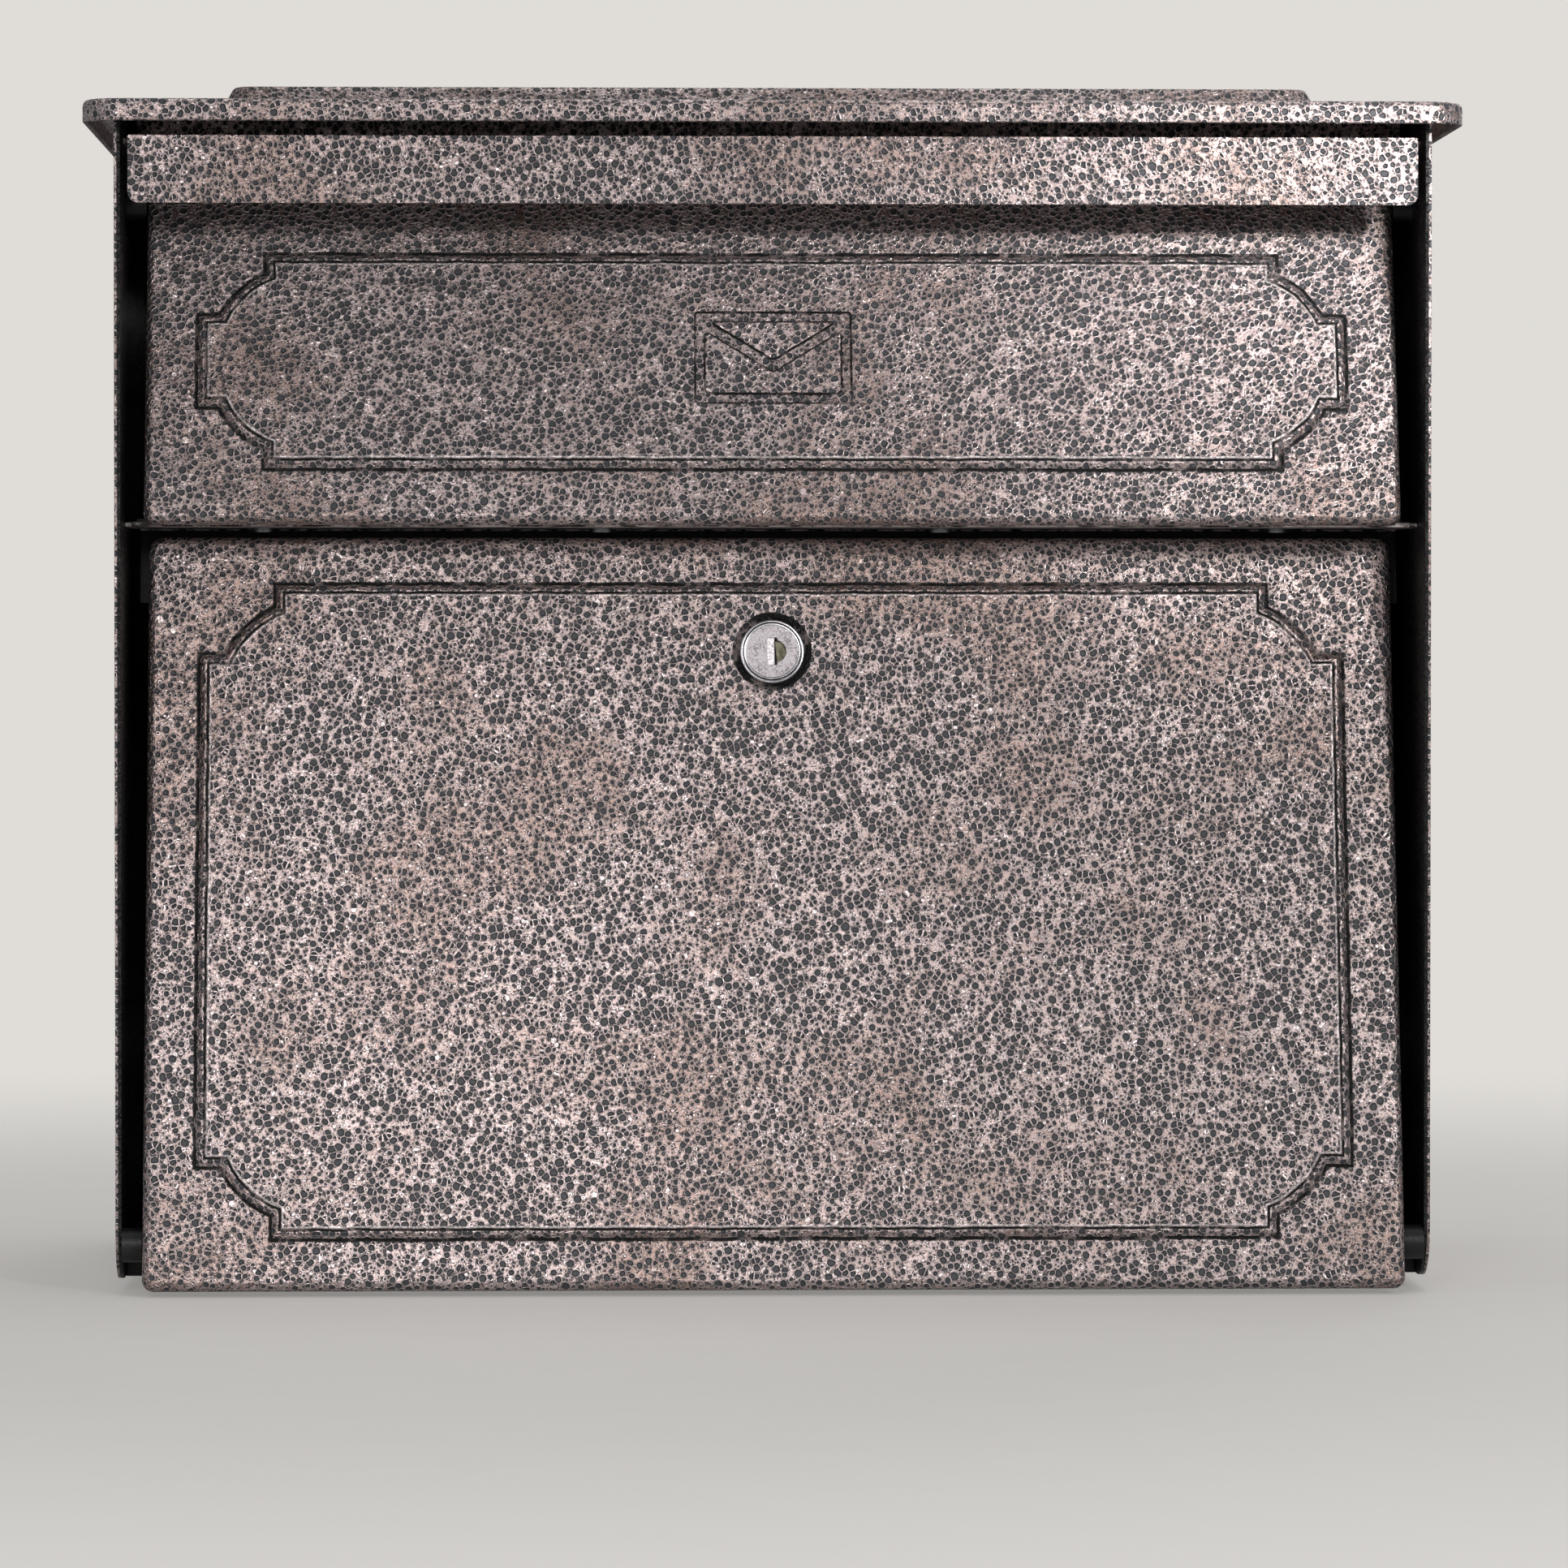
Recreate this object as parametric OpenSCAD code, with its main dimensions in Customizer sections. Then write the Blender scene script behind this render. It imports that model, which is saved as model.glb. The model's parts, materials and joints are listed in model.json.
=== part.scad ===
// Wall mounted mailbox with a lift-up mail flap over a locked access door.
// Millimetres. X runs along the wall, -Y points away from the wall, +Z is up.
// The origin is the centre of the four wall holes, on the back face.
// Inside the modules, heights count up from the access door's bottom edge.

/* [Body] */
// Width of the roof pan, the widest part
roof_w = 400; // [360:5:440]
// Depth from the wall to the roof's front lip
roof_d = 210; // [190:5:240]
// Height of the roof lip's top above the door's bottom edge
roof_z = 343.3; // [343:0.1:344]
// Width over the two side panels
case_w = 382; // [382:1:384]
// Distance from the wall to the side panels' front edges
case_d = 200; // [198:1:202]
// Thickness of the side panels
side_t = 1.8; // [1.2:0.1:2]
// Thickness of every other body sheet
sheet_t = 1.5; // [1.2:0.1:1.6]

/* [Door and flap] */
// Width of the access door and of the mail flap
panel_w = 366; // [360:1:367]
// Length of the door along its own slope
door_len = 222.2; // [221:0.1:222.4]
// Angle by which the door leans back
door_lean = 10.9; // [10.5:0.1:11.2]
// Length of the flap along its own slope
flap_len = 103.1; // [102.7:0.1:103.5]
// Angle by which the flap leans back
flap_lean = 15; // [14.5:0.1:15.5]
// Height of the raised field on the flap and the door
relief_h = 1.3; // [0.8:0.1:1.6]
// Width of the sloping edge round each raised field
relief_edge = 2.9; // [2:0.1:4]

/* [Lock] */
// Height of the lock above the door's bottom edge, along the door
lock_v = 187.5; // [185:0.5:190]
// Diameter of the lock's bezel
bezel_d = 19; // [18:0.5:20]
// Diameter of the turning lock face
face_d = 17; // [16:0.5:17]
// Reach of the cam from the lock's axis
cam_reach = 30; // [28:0.5:31]

/* [Wall fixing] */
// Distance between the wall holes, side to side
hole_dx = 300; // [250:5:320]
// Distance between the wall holes, top to bottom
hole_dz = 230; // [200:5:260]
// Diameter of each wall hole
hole_d = 6.6; // [5:0.1:8]

/* [Hidden] */
$fn = 64;

copper_coat = "#6f625e";
dark_coat = "#3a3635";
zinc = "#b9bcc0";
rubber = "#222222";
brass = "#8d8260";

mount_height = 176;
case_bottom = 1.5;
side_inner = case_w / 2 - side_t;
roof_under = roof_z - sheet_t;
fold = 12;

lip_h = 6.5;
platform_h = 6.9;
platform_inset = 38.5;
platform_slope = 4;

hood_low = 313.9;
hood_high = 333.4;
hood_w = 374;
hood_back = -155;

door_foot_y = -209;
flap_foot_y = -196;
flap_foot_z = 221.9;
door_hinge_v = 14.24;
door_hinge_n = -10.5;
flap_hinge_v = 98;
flap_hinge_n = -4.6;
door_depth = 10;
flap_depth = 8;
field_w = 336;
flap_pin_r = 2;
door_pin_r = 2.5;

rail_z = 220.6;
rail_t = 1.5;
rail_front = -187;
rail_w = 373;
keeper_n = -14.5;
keeper_low_v = 205;

floor_front = -179.5;
fit_gap = 0.05;
side_gap = 0.4;

barrel_d = 16;
core_d = 12;
core_bore_d = 12.1;
barrel_back = -17;
cam_front = -17.4;
cam_t = 2;
tang = 7;

// A point of the door's plane, v up its face and n out of it, as [y, z].
function on_door(v, n) = [
    door_foot_y + v * sin(door_lean) - n * cos(door_lean),
    v * cos(door_lean) + n * sin(door_lean)
];

// Moves heights above the door's bottom edge into the frame of the wall holes.
module in_frame() {
    translate([0, 0, -mount_height]) children();
}

// The door's own frame: x across, y up the face, z out of the face.
module door_frame() {
    in_frame() translate([0, door_foot_y, 0]) rotate([90 - door_lean, 0, 0]) children();
}

// The flap's own frame, laid out as the door's.
module flap_frame() {
    in_frame()
        translate([0, flap_foot_y, flap_foot_z])
            rotate([90 - flap_lean, 0, 0]) children();
}

// Sweeps a [y, z] outline along X, centred, over the given length.
module along_x(length) {
    translate([-length / 2, 0, 0]) rotate([90, 0, 90]) linear_extrude(length) children();
}

// A block given by its low and high corners.
module block(low, high) {
    translate(low) cube(high - low);
}

// A shaft or hole along X between two stations.
module x_rod(x_low, x_high, r) {
    translate([x_low, 0, 0]) rotate([0, 90, 0]) cylinder(h = x_high - x_low, r = r);
}

// Copies its children to both sides.
module both_sides() {
    for (side = [0, 1]) mirror([side, 0, 0]) children();
}

// A rectangle on the X axis with one radius at the bottom and one at the top.
module rounded_plate(w, h, r_low, r_high) {
    translate([-w / 2, r_low]) square([w, h - r_low - r_high]);
    translate([-w / 2 + r_low, 0]) square([w - 2 * r_low, r_low]);
    translate([-w / 2 + r_high, h - r_high]) square([w - 2 * r_high, r_high]);
    for (side = [-1, 1]) {
        translate([side * (w / 2 - r_low), r_low]) circle(r_low);
        translate([side * (w / 2 - r_high), h - r_high]) circle(r_high);
    }
}

// A sheet folded back on all four edges: open towards -Z, face at Z = 0.
module folded_tray(w, h, r_low, r_high, depth, t) {
    difference() {
        translate([0, 0, -depth]) linear_extrude(depth) rounded_plate(w, h, r_low, r_high);
        translate([0, t, -depth - 1])
            linear_extrude(depth + 1 - t)
                rounded_plate(w - 2 * t, h - 2 * t, r_low - t, r_high - t);
    }
}

// A rectangle's outline with round corners, anticlockwise, centred.
function round_ring(w, h, r, steps) = [
    for (corner = [0:3], i = [0:steps])
        let (
            turn = 90 * corner + 90 * i / max(steps, 1),
            sx = (corner == 0 || corner == 3) ? 1 : -1,
            sy = (corner < 2) ? 1 : -1
        )
        [sx * (w / 2 - r) + r * cos(turn), sy * (h / 2 - r) + r * sin(turn)]
];

// A solid between two outlines that have the same number of points.
module frustum(low_ring, high_ring, z_low, z_high) {
    n = len(low_ring);
    polyhedron(
        points = concat(
            [for (p = low_ring) [p[0], p[1], z_low]],
            [for (p = high_ring) [p[0], p[1], z_high]]
        ),
        faces = concat(
            [[for (i = [0:n - 1]) i]],
            [[for (i = [0:n - 1]) 2 * n - 1 - i]],
            [for (i = [0:n - 1]) [i, n + i, n + (i + 1) % n, (i + 1) % n]]
        )
    );
}

// A solid on a rectangular foot whose walls lean in as it rises.
module sloped_block(w, h, r, steps, z_low, z_high, slope) {
    frustum(
        round_ring(w, h, r, steps),
        round_ring(w - 2 * slope, h - 2 * slope, max(r - slope, 0), steps),
        z_low, z_high
    );
}

// The raised field of a panel, between two stations along the panel.
// Two crossed blocks leave a step at each corner and a round one bulges into it.
module raised_field(w, v_low, v_high, notch) {
    h = v_high - v_low;
    bulge = 0.36 * notch;
    corner_r = 1.42 * notch;
    translate([0, (v_low + v_high) / 2, 0]) {
        sloped_block(w, h - 1.9 * notch, 0, 0, 0, relief_h, relief_edge);
        sloped_block(w - 2 * notch, h, 0, 0, 0, relief_h, relief_edge);
        sloped_block(w - bulge, h - bulge, corner_r, 10, 0, relief_h, relief_edge);
    }
}

// The hollow that the same stamping leaves on the back of the sheet.
module field_hollow(w, v_low, v_high, notch) {
    wall = 4.5;
    margin = wall + notch;
    h = v_high - v_low;
    for (size = [[w - 2 * wall, h - 2 * margin], [w - 2 * margin, h - 2 * wall]])
        translate([-size[0] / 2, (v_low + v_high - size[1]) / 2, -sheet_t - 1])
            cube([size[0], size[1], 1 + relief_h]);
}

// A plain envelope sign in strokes of one width, centred on the origin.
module envelope_sign(w, h, stroke) {
    difference() {
        square([w, h], center = true);
        square([w - 2 * stroke, h - 2 * stroke], center = true);
    }
    intersection() {
        square([w, h], center = true);
        for (side = [-1, 1])
            polygon([
                [0, -h * 0.02], [0, -h * 0.02 - stroke * 1.3],
                [side * w * 0.5, h * 0.5 - stroke * 1.3], [side * w * 0.5, h * 0.5]
            ]);
    }
}

module back_panel() {
    color(copper_coat) in_frame() difference() {
        block([-case_w / 2, -sheet_t, case_bottom], [case_w / 2, 0, roof_under]);
        for (x = [-1, 1], z = [-1, 1])
            translate([x * hole_dx / 2, 1, mount_height + z * hole_dz / 2])
                rotate([90, 0, 0]) cylinder(h = sheet_t + 2, d = hole_d);
    }
}

module side_outline() {
    corner_r = 15;
    translate([-case_d, case_bottom + corner_r])
        square([case_d - sheet_t, roof_under - case_bottom - corner_r]);
    translate([-case_d + corner_r, case_bottom])
        square([case_d - sheet_t - corner_r, corner_r]);
    translate([-case_d + corner_r, case_bottom + corner_r]) circle(corner_r);
}

// A side panel with one fold under the roof and one along the back panel.
module side_panel() {
    roof_fold_front = hood_back + 1;
    in_frame() {
        translate([side_inner + side_t / 2, 0, 0]) along_x(side_t) side_outline();
        block([side_inner - fold, roof_fold_front, roof_under - sheet_t],
              [side_inner, -sheet_t, roof_under]);
        block([side_inner - fold, -2 * sheet_t, 20],
              [side_inner, -sheet_t, roof_under - 20]);
    }
}

module left_side_panel() {
    color(copper_coat) mirror([1, 0, 0]) side_panel();
}

module right_side_panel() {
    color(copper_coat) side_panel();
}

// The floor is a tray: its folds stand up inside the side panels.
module floor_panel() {
    drain_d = 8;
    back = -2 * sheet_t - 0.2;
    color(dark_coat) in_frame() difference() {
        block([-side_inner, floor_front, case_bottom],
              [side_inner, back, case_bottom + fold]);
        block([-side_inner + sheet_t, floor_front + sheet_t, case_bottom + sheet_t],
              [side_inner - sheet_t, back - sheet_t, case_bottom + fold + 1]);
        for (x = [-135, -45, 45, 135])
            translate([x, floor_front + 14, case_bottom - 1])
                cylinder(h = sheet_t + 2, d = drain_d);
    }
}

// A shallow pan over the body with a stamped platform on top.
module roof_cap() {
    front_r = 11;
    back_r = 3;
    base = [roof_w - 2 * platform_inset, roof_d - 2 * platform_inset];
    color(copper_coat) in_frame() difference() {
        union() {
            translate([0, 0, roof_z - lip_h]) linear_extrude(lip_h)
                translate([0, -roof_d]) rounded_plate(roof_w, roof_d, front_r, back_r);
            translate([0, -roof_d / 2, 0])
                sloped_block(base[0], base[1], 9, 5, roof_z - 0.5, roof_z + platform_h,
                             platform_slope);
        }
        translate([0, 0, roof_z - lip_h - 1]) linear_extrude(lip_h + 1 - sheet_t)
            translate([0, -roof_d + sheet_t])
                rounded_plate(
                    roof_w - 2 * sheet_t, roof_d - sheet_t + 10,
                    front_r - sheet_t, back_r
                );
        translate([0, -roof_d / 2, 0])
            sloped_block(base[0] - 4, base[1] - 4, 7, 5, roof_z - sheet_t - 0.5,
                         roof_z + platform_h - sheet_t, platform_slope);
    }
}

// The fixed strip under the roof that hides the flap's top edge.
module hood_rail() {
    tie_front = -186;
    low_r = 3;
    color(copper_coat) in_frame() {
        translate([0, -case_d + sheet_t, 0]) rotate([90, 0, 0]) linear_extrude(sheet_t)
            translate([0, hood_low])
                rounded_plate(hood_w, hood_high - hood_low, low_r, 0.5);
        block([-hood_w / 2, -case_d + sheet_t, hood_high - sheet_t],
              [hood_w / 2, hood_back, hood_high]);
        block([-side_inner, tie_front, hood_high - sheet_t],
              [side_inner, hood_back, hood_high]);
        block([-hood_w / 2, hood_back - sheet_t, hood_high - sheet_t],
              [hood_w / 2, hood_back, roof_under]);
    }
}

// The cross rail between flap and door. Its lower fold is the cam's keeper.
module mid_rail() {
    stop_top = 236;
    stop_w = 356;
    tie_front = -183;
    keeper_front = on_door((rail_z - keeper_n * sin(door_lean)) / cos(door_lean), keeper_n);
    back_n = keeper_n - rail_t;
    top_z = rail_z + rail_t;
    keeper_back = on_door((top_z - back_n * sin(door_lean)) / cos(door_lean), back_n);
    color(dark_coat) in_frame() difference() {
        union() {
            along_x(rail_w)
                polygon([
                    [rail_front, rail_z], [rail_front, top_z], keeper_back,
                    on_door(keeper_low_v, back_n), on_door(keeper_low_v, keeper_n),
                    keeper_front
                ]);
            block([-stop_w / 2, rail_front, rail_z],
                  [stop_w / 2, rail_front + rail_t, stop_top]);
            block([-side_inner, tie_front, rail_z], [side_inner, keeper_back[0], top_z]);
        }
        chute_rivet_places() cylinder(h = 20, r = 2.05, center = true);
    }
}

module chute_rivet_places() {
    for (x = [-150, -50, 50, 150])
        translate([x, -162, rail_z]) children();
}

// The sloping plate that drops mail to the back and shields the way in.
module chute_plate() {
    t = 1.2;
    tab_front = -170;
    bend = -149.4;
    lip = [-62, 172];
    top_z = rail_z + rail_t;
    teeth = 12;
    pitch = rail_w / teeth;
    color(dark_coat) in_frame() difference() {
        along_x(rail_w)
            polygon([
                [tab_front, top_z], [tab_front, top_z + t], [bend + 0.5, top_z + t],
                [lip[0], lip[1] + t], [lip[0], lip[1]], [bend, top_z]
            ]);
        chute_rivet_places() cylinder(h = 20, r = 2.05, center = true);
        for (i = [0:teeth - 1])
            translate([-rail_w / 2 + (i + 0.5) * pitch, lip[0], lip[1] - 10])
                linear_extrude(30)
                    polygon([[-pitch * 0.3, 1], [pitch * 0.3, 1], [0, -14]]);
    }
}

module chute_rivets() {
    color(zinc) in_frame() chute_rivet_places() {
        translate([0, 0, -1.2]) cylinder(h = 1.2, r = 3.4);
        cylinder(h = rail_t + 1.2, r = 2);
        translate([0, 0, rail_t + 1.2]) cylinder(h = 1.4, r1 = 3.6, r2 = 2.2);
    }
}

// A stepped rivet that stands off a side panel and carries one panel ear.
module shoulder_rivet(pin_r, shoulder_r, head_r) {
    ear_x = panel_w / 2;
    x_rod(ear_x + side_gap, side_inner, shoulder_r);
    x_rod(ear_x - sheet_t - side_gap, ear_x + side_gap, pin_r);
    x_rod(ear_x - sheet_t - side_gap - 1.6, ear_x - sheet_t - side_gap, head_r);
}

module flap_hinge_pins() {
    color(zinc) flap_frame() both_sides()
        translate([0, flap_hinge_v, flap_hinge_n]) shoulder_rivet(flap_pin_r, 4.5, 2.7);
}

module door_hinge_pins() {
    color(zinc) door_frame() both_sides()
        translate([0, door_hinge_v, door_hinge_n]) shoulder_rivet(door_pin_r, 5, 4.2);
}

// Two rubber studs on the rail's upper fold, behind the flap.
module flap_bumpers() {
    stud_z = 229.5;
    color(rubber) in_frame() both_sides()
        translate([140, rail_front, stud_z]) rotate([90, 0, 0]) {
            cylinder(h = 2.6, r = 4);
            translate([0, 0, 2.6]) cylinder(h = 1.2, r1 = 4, r2 = 2.8);
        }
}

// Two rubber studs on the rail's lower fold, behind the door.
module door_bumpers() {
    length = -door_depth - 0.3 - keeper_n;
    color(rubber) door_frame() both_sides()
        translate([150, door_len - 4, keeper_n]) {
            cylinder(h = length - 1, r = 4);
            translate([0, 0, length - 1]) cylinder(h = 1, r1 = 4, r2 = 3);
        }
}

flap_field = [15.8, 81.5];
flap_notch = 19.5;

// The lift-up flap with its raised field and a pressed envelope sign.
module mail_flap() {
    finger_fold = 4;
    sign_depth = 0.7;
    color(copper_coat) flap_frame() difference() {
        union() {
            folded_tray(panel_w, flap_len, 3, 3, flap_depth, sheet_t);
            raised_field(field_w, flap_field[0], flap_field[1], flap_notch);
        }
        translate([-panel_w, -1, -flap_depth - 1])
            cube([2 * panel_w, 1 + sheet_t + 1, flap_depth - finger_fold + 1]);
        field_hollow(field_w, flap_field[0], flap_field[1], flap_notch);
        translate([0, (flap_field[0] + flap_field[1]) / 2 + 1, relief_h - sign_depth])
            linear_extrude(2) envelope_sign(46, 28, 3.2);
        translate([0, flap_hinge_v, flap_hinge_n])
            x_rod(-panel_w, panel_w, flap_pin_r + fit_gap);
    }
}

door_field = [14.5, 207.8];
door_notch = 22;

// The bottom-hinged door with its raised field and the lock's dished seat.
module access_door() {
    low_fold = 5;
    dish_d = 22.6;
    dish_n = -0.3;
    ear_r = 6.5;
    color(copper_coat) door_frame() difference() {
        union() {
            difference() {
                union() {
                    folded_tray(panel_w, door_len, 3.2, 4.2, door_depth, sheet_t);
                    raised_field(field_w, door_field[0], door_field[1], door_notch);
                }
                translate([-panel_w, -1, -door_depth - 1])
                    cube([2 * panel_w, 1 + sheet_t + 1, door_depth - low_fold + 1]);
                field_hollow(field_w, door_field[0], door_field[1], door_notch);
            }
            both_sides() translate([0, door_hinge_v, door_hinge_n])
                x_rod(panel_w / 2 - sheet_t, panel_w / 2, ear_r);
            translate([0, lock_v, dish_n - sheet_t])
                cylinder(h = sheet_t - dish_n + 0.5, d = dish_d + 2 * sheet_t);
        }
        translate([0, lock_v, dish_n]) cylinder(h = 5, d = dish_d);
        translate([0, lock_v, -20]) cylinder(h = 30, d = barrel_d + 0.4);
        translate([0, door_hinge_v, door_hinge_n])
            x_rod(-panel_w, panel_w, door_pin_r + fit_gap);
    }
}

seat_n = -0.3;
doubler_front = seat_n - sheet_t;
doubler_t = 2;

// The plate behind the door that the lock's nut bears on.
module lock_doubler() {
    color(zinc) door_frame() difference() {
        translate([-24, lock_v - 17, doubler_front - doubler_t])
            cube([48, 34, doubler_t]);
        translate([0, lock_v, -20]) cylinder(h = 30, d = barrel_d + 0.4);
    }
}

// The lock's fixed housing: a thin bezel in front and a bored barrel behind.
module lock_body() {
    front = 1.3;
    counterbore = 0.1;
    flat = barrel_d / 2 - 1.2;
    color(zinc) door_frame() translate([0, lock_v, 0]) difference() {
        union() {
            translate([0, 0, seat_n]) cylinder(h = front - 0.3 - seat_n, d = bezel_d);
            translate([0, 0, front - 0.3])
                cylinder(h = 0.3, r1 = bezel_d / 2, r2 = bezel_d / 2 - 0.25);
            intersection() {
                translate([0, 0, barrel_back])
                    cylinder(h = seat_n - barrel_back, d = barrel_d);
                translate([-flat, -barrel_d, barrel_back])
                    cube([2 * flat, 2 * barrel_d, seat_n - barrel_back]);
            }
        }
        translate([0, 0, barrel_back - 1]) cylinder(h = 30, d = core_bore_d);
        translate([0, 0, counterbore]) cylinder(h = 3, d = face_d + 0.2);
    }
}

module lock_nut() {
    across_corners = 25;
    thick = 4;
    color(zinc) door_frame()
        translate([0, lock_v, doubler_front - doubler_t - thick]) difference() {
            cylinder(h = thick, d = across_corners, $fn = 6);
            translate([0, 0, -1]) cylinder(h = thick + 2, d = barrel_d + 0.1);
        }
}

key_x = 0.75;
pocket_top = 0.3;
pocket_low = -1.5;
pocket_x = [-3, 4.5];
pocket_half = 3.6;

// The turning core: its face, the keyhole and the tang that drives the cam.
module lock_plug() {
    face_back = 0.2;
    face_front = 1.2;
    slot_w = 0.7;
    slot_half = 4.1;
    moon_r = 3.4;
    rib = [[-1.5, -4.2], [0.6, 4.2]];
    color(zinc) door_frame() translate([0, lock_v, 0]) {
        difference() {
            union() {
                translate([0, 0, face_back])
                    cylinder(h = face_front - face_back, d = face_d);
                translate([0, 0, barrel_back - 0.2])
                    cylinder(h = face_back - barrel_back + 0.2, d = core_d);
                translate([-tang / 2, -tang / 2, cam_front - cam_t])
                    cube([tang, tang, barrel_back - cam_front + cam_t]);
            }
            translate([key_x, -slot_half, pocket_top - 0.5])
                cube([slot_w, 2 * slot_half, 3]);
            intersection() {
                translate([key_x + 0.1, 0, pocket_top - 0.5]) cylinder(h = 3, r = moon_r);
                translate([key_x, -moon_r, pocket_top - 0.5])
                    cube([moon_r + 1, 2 * moon_r, 3]);
            }
            translate([pocket_x[0], -pocket_half, pocket_low])
                cube([pocket_x[1] - pocket_x[0], 2 * pocket_half, pocket_top - pocket_low]);
            translate([key_x - 0.3, -3.4, -11]) cube([1.6, 6.8, 10]);
            translate([0, 0, cam_front - cam_t - 1]) cylinder(h = 7, r = 2.05);
        }
        translate([rib[0][0], rib[0][1], face_front])
            cube([rib[1][0] - rib[0][0], rib[1][1] - rib[0][1], 0.25]);
    }
}

// The spring-loaded leaf behind the keyhole. It slides aside for the key.
module keyway_shutter() {
    color(brass) door_frame() translate([0, lock_v, 0])
        translate([key_x - 0.1, -3.25, pocket_low + 0.35]) cube([3.4, 6.5, 1.1]);
}

module lock_cam() {
    half_w = 7;
    color(zinc) door_frame() translate([0, lock_v, cam_front - cam_t]) difference() {
        linear_extrude(cam_t) {
            circle(half_w + 2);
            translate([0, -half_w]) square([cam_reach - half_w, 2 * half_w]);
            translate([cam_reach - half_w, 0]) circle(half_w);
        }
        translate([-tang / 2 - 0.05, -tang / 2 - 0.05, -1])
            cube([tang + 0.1, tang + 0.1, cam_t + 2]);
    }
}

washer_t = 0.8;

module cam_washer() {
    color(zinc) door_frame()
        translate([0, lock_v, cam_front - cam_t - washer_t]) difference() {
            cylinder(h = washer_t, r = 5.6);
            translate([0, 0, -1]) cylinder(h = washer_t + 2, r = 2.1);
        }
}

module cam_screw() {
    head_h = 2.4;
    head_back = cam_front - cam_t - washer_t - head_h;
    color(zinc) door_frame() translate([0, lock_v, head_back]) difference() {
        union() {
            cylinder(h = head_h, r = 3.8);
            cylinder(h = head_h + washer_t + 5, r = 2);
        }
        for (turn = [0, 90])
            rotate([0, 0, turn]) translate([-2.2, -0.5, -1]) cube([4.4, 1, 2.2]);
    }
}

back_panel();
left_side_panel();
right_side_panel();
floor_panel();
roof_cap();
hood_rail();
mid_rail();
chute_plate();
chute_rivets();
flap_hinge_pins();
flap_bumpers();
door_hinge_pins();
door_bumpers();
mail_flap();
access_door();
lock_doubler();
lock_body();
lock_nut();
lock_plug();
lock_cam();
cam_washer();
cam_screw();
keyway_shutter();
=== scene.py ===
"""Looks of a wall mounted mailbox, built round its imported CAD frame. Metres, +Z up, front faces -Y."""

import json
import math

import bmesh
import bpy
from mathutils import Matrix, Vector, noise


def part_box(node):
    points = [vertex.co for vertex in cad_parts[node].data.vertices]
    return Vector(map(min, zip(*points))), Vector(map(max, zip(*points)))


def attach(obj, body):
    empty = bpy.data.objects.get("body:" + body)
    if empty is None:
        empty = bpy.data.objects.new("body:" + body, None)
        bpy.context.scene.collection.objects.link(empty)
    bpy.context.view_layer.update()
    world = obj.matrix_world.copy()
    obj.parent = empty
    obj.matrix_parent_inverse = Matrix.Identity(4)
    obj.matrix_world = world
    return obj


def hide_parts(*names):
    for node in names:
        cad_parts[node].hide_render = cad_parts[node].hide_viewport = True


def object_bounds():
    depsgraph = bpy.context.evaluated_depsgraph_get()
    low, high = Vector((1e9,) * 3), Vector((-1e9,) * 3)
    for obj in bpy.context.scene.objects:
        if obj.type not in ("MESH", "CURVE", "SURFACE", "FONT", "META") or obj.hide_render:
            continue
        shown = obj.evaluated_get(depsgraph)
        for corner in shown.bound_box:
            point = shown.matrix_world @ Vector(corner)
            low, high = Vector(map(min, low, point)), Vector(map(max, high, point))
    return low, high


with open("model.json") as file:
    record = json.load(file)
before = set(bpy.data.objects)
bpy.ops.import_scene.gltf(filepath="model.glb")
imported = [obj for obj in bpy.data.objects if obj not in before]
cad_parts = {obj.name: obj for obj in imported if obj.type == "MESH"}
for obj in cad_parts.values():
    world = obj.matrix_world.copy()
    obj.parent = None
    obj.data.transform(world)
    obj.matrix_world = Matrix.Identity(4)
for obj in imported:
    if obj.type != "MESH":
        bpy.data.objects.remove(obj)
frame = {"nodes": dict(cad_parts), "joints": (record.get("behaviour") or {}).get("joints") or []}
cad_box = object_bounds()

MM = 0.001
# Sizes below are in millimetres, unless a comment says otherwise.
SHEET = 1.5
PANEL_W = 366
PANEL_BEND = 2.5
FIELD_W = 336
RELIEF_H = 1.3
BEND_STEPS = 5
CORNER_STEPS = 6
EDGE_PITCH = 6.0
FIELD_TOP_STEPS = 142
LOCK_SIDES = 96
SHADING_WEIGHT = 100


# ---------------------------------------------------------------- places

def joint(name):
    """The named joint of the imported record."""
    return next(j for j in frame["joints"] if j["name"] == name)


def leaning_place(point, out, v, n):
    """The frame of a leaning panel: x across, y up the face, z out of it, in millimetres."""
    across = Vector((1, 0, 0))
    out = out.normalized()
    up = out.cross(across)
    foot = point - up * v * MM - out * n * MM
    turn = Matrix((across, up, out)).transposed().to_4x4()
    return Matrix.Translation(foot) @ turn @ Matrix.Scale(MM, 4)


# Height of the cross rail's lower front corner, in metres.
RAIL_EDGE_Z = 0.0449
# Along a leaning panel, v runs up its face from the foot and n points out of it.
LOCK_V = 187.5
SEAT_N = -0.3
DOOR_LEN = 222.2
DOOR_HINGE = (14.24, -10.5)
DOOR_BORE_R = 2.55
DOOR_FIELD = (14.5, 207.8)
DOOR_NOTCH = 22
DOOR_SIDE_STEPS = 74
FLAP_LEAN = math.radians(15)
FLAP_LEN = 103.1
FLAP_HINGE = (98, -4.6)
FLAP_BORE_R = 2.05
FLAP_FIELD = (15.8, 81.5)
FLAP_NOTCH = 19.5
FLAP_SIDE_STEPS = 12

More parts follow.
